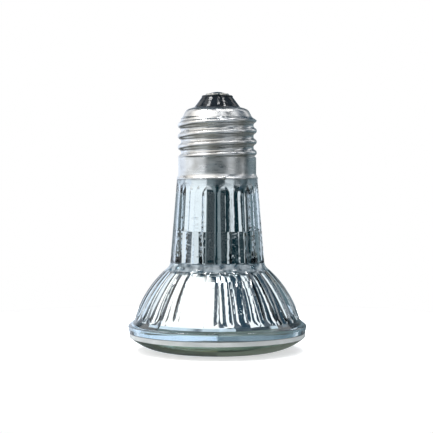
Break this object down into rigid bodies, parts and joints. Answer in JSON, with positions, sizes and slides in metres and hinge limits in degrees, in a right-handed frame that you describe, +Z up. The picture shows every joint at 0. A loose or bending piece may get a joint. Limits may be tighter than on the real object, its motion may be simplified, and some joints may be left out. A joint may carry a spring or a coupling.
{
  "type": "reptile basking bulb",
  "caption": "Halogen spot lamp for heating a basking place: fluted silvered glass neck and bowl, clear domed lens, E27 screw cap with black insulator.",
  "frame": {"origin": "centre of the flat middle of the lens front, on the floor that the lamp stands on", "axes": "+Z up the lamp axis from the lens to the cap, -Y the front, where the solder spot on the cap's lip is, +X right"},
  "size_m": [0.0596, 0.0596, 0.086],
  "materials": {
    "reflector_glass": "clear pressed glass, silvered on its inside",
    "lens_glass": "clear pressed glass, polished",
    "sealant": "cured bonding resin, satin",
    "nickel_plate": "nickel-plated brass, satin",
    "black_glass": "fused black glass, glossy",
    "eyelet_metal": "tinned, satin",
    "solder": "lead-free solder, bright",
    "cement": "fired basing cement, matt",
    "lead_wire": "nickel wire",
    "quartz": "clear quartz glass, polished",
    "tungsten": "drawn tungsten",
    "molybdenum": "foil and pins, satin",
    "holder_sheet": "stamped spring steel, bright"
  },
  "bodies": {
    "root": {"reflector": "reflector_glass", "lens": "lens_glass", "rim_seal": "sealant", "screw_shell": "nickel_plate", "insulator": "black_glass", "centre_contact": "eyelet_metal", "contact_solder": "solder", "side_solder": "solder", "basing_cement": "cement", "centre_lead": "lead_wire", "side_lead": "lead_wire", "burner_envelope": "quartz", "filament": "tungsten", "pinch_foil_left": "molybdenum", "pinch_foil_right": "molybdenum", "pin_left": "molybdenum", "pin_right": "molybdenum", "burner_holder": "holder_sheet"}
  },
  "joints": []
}
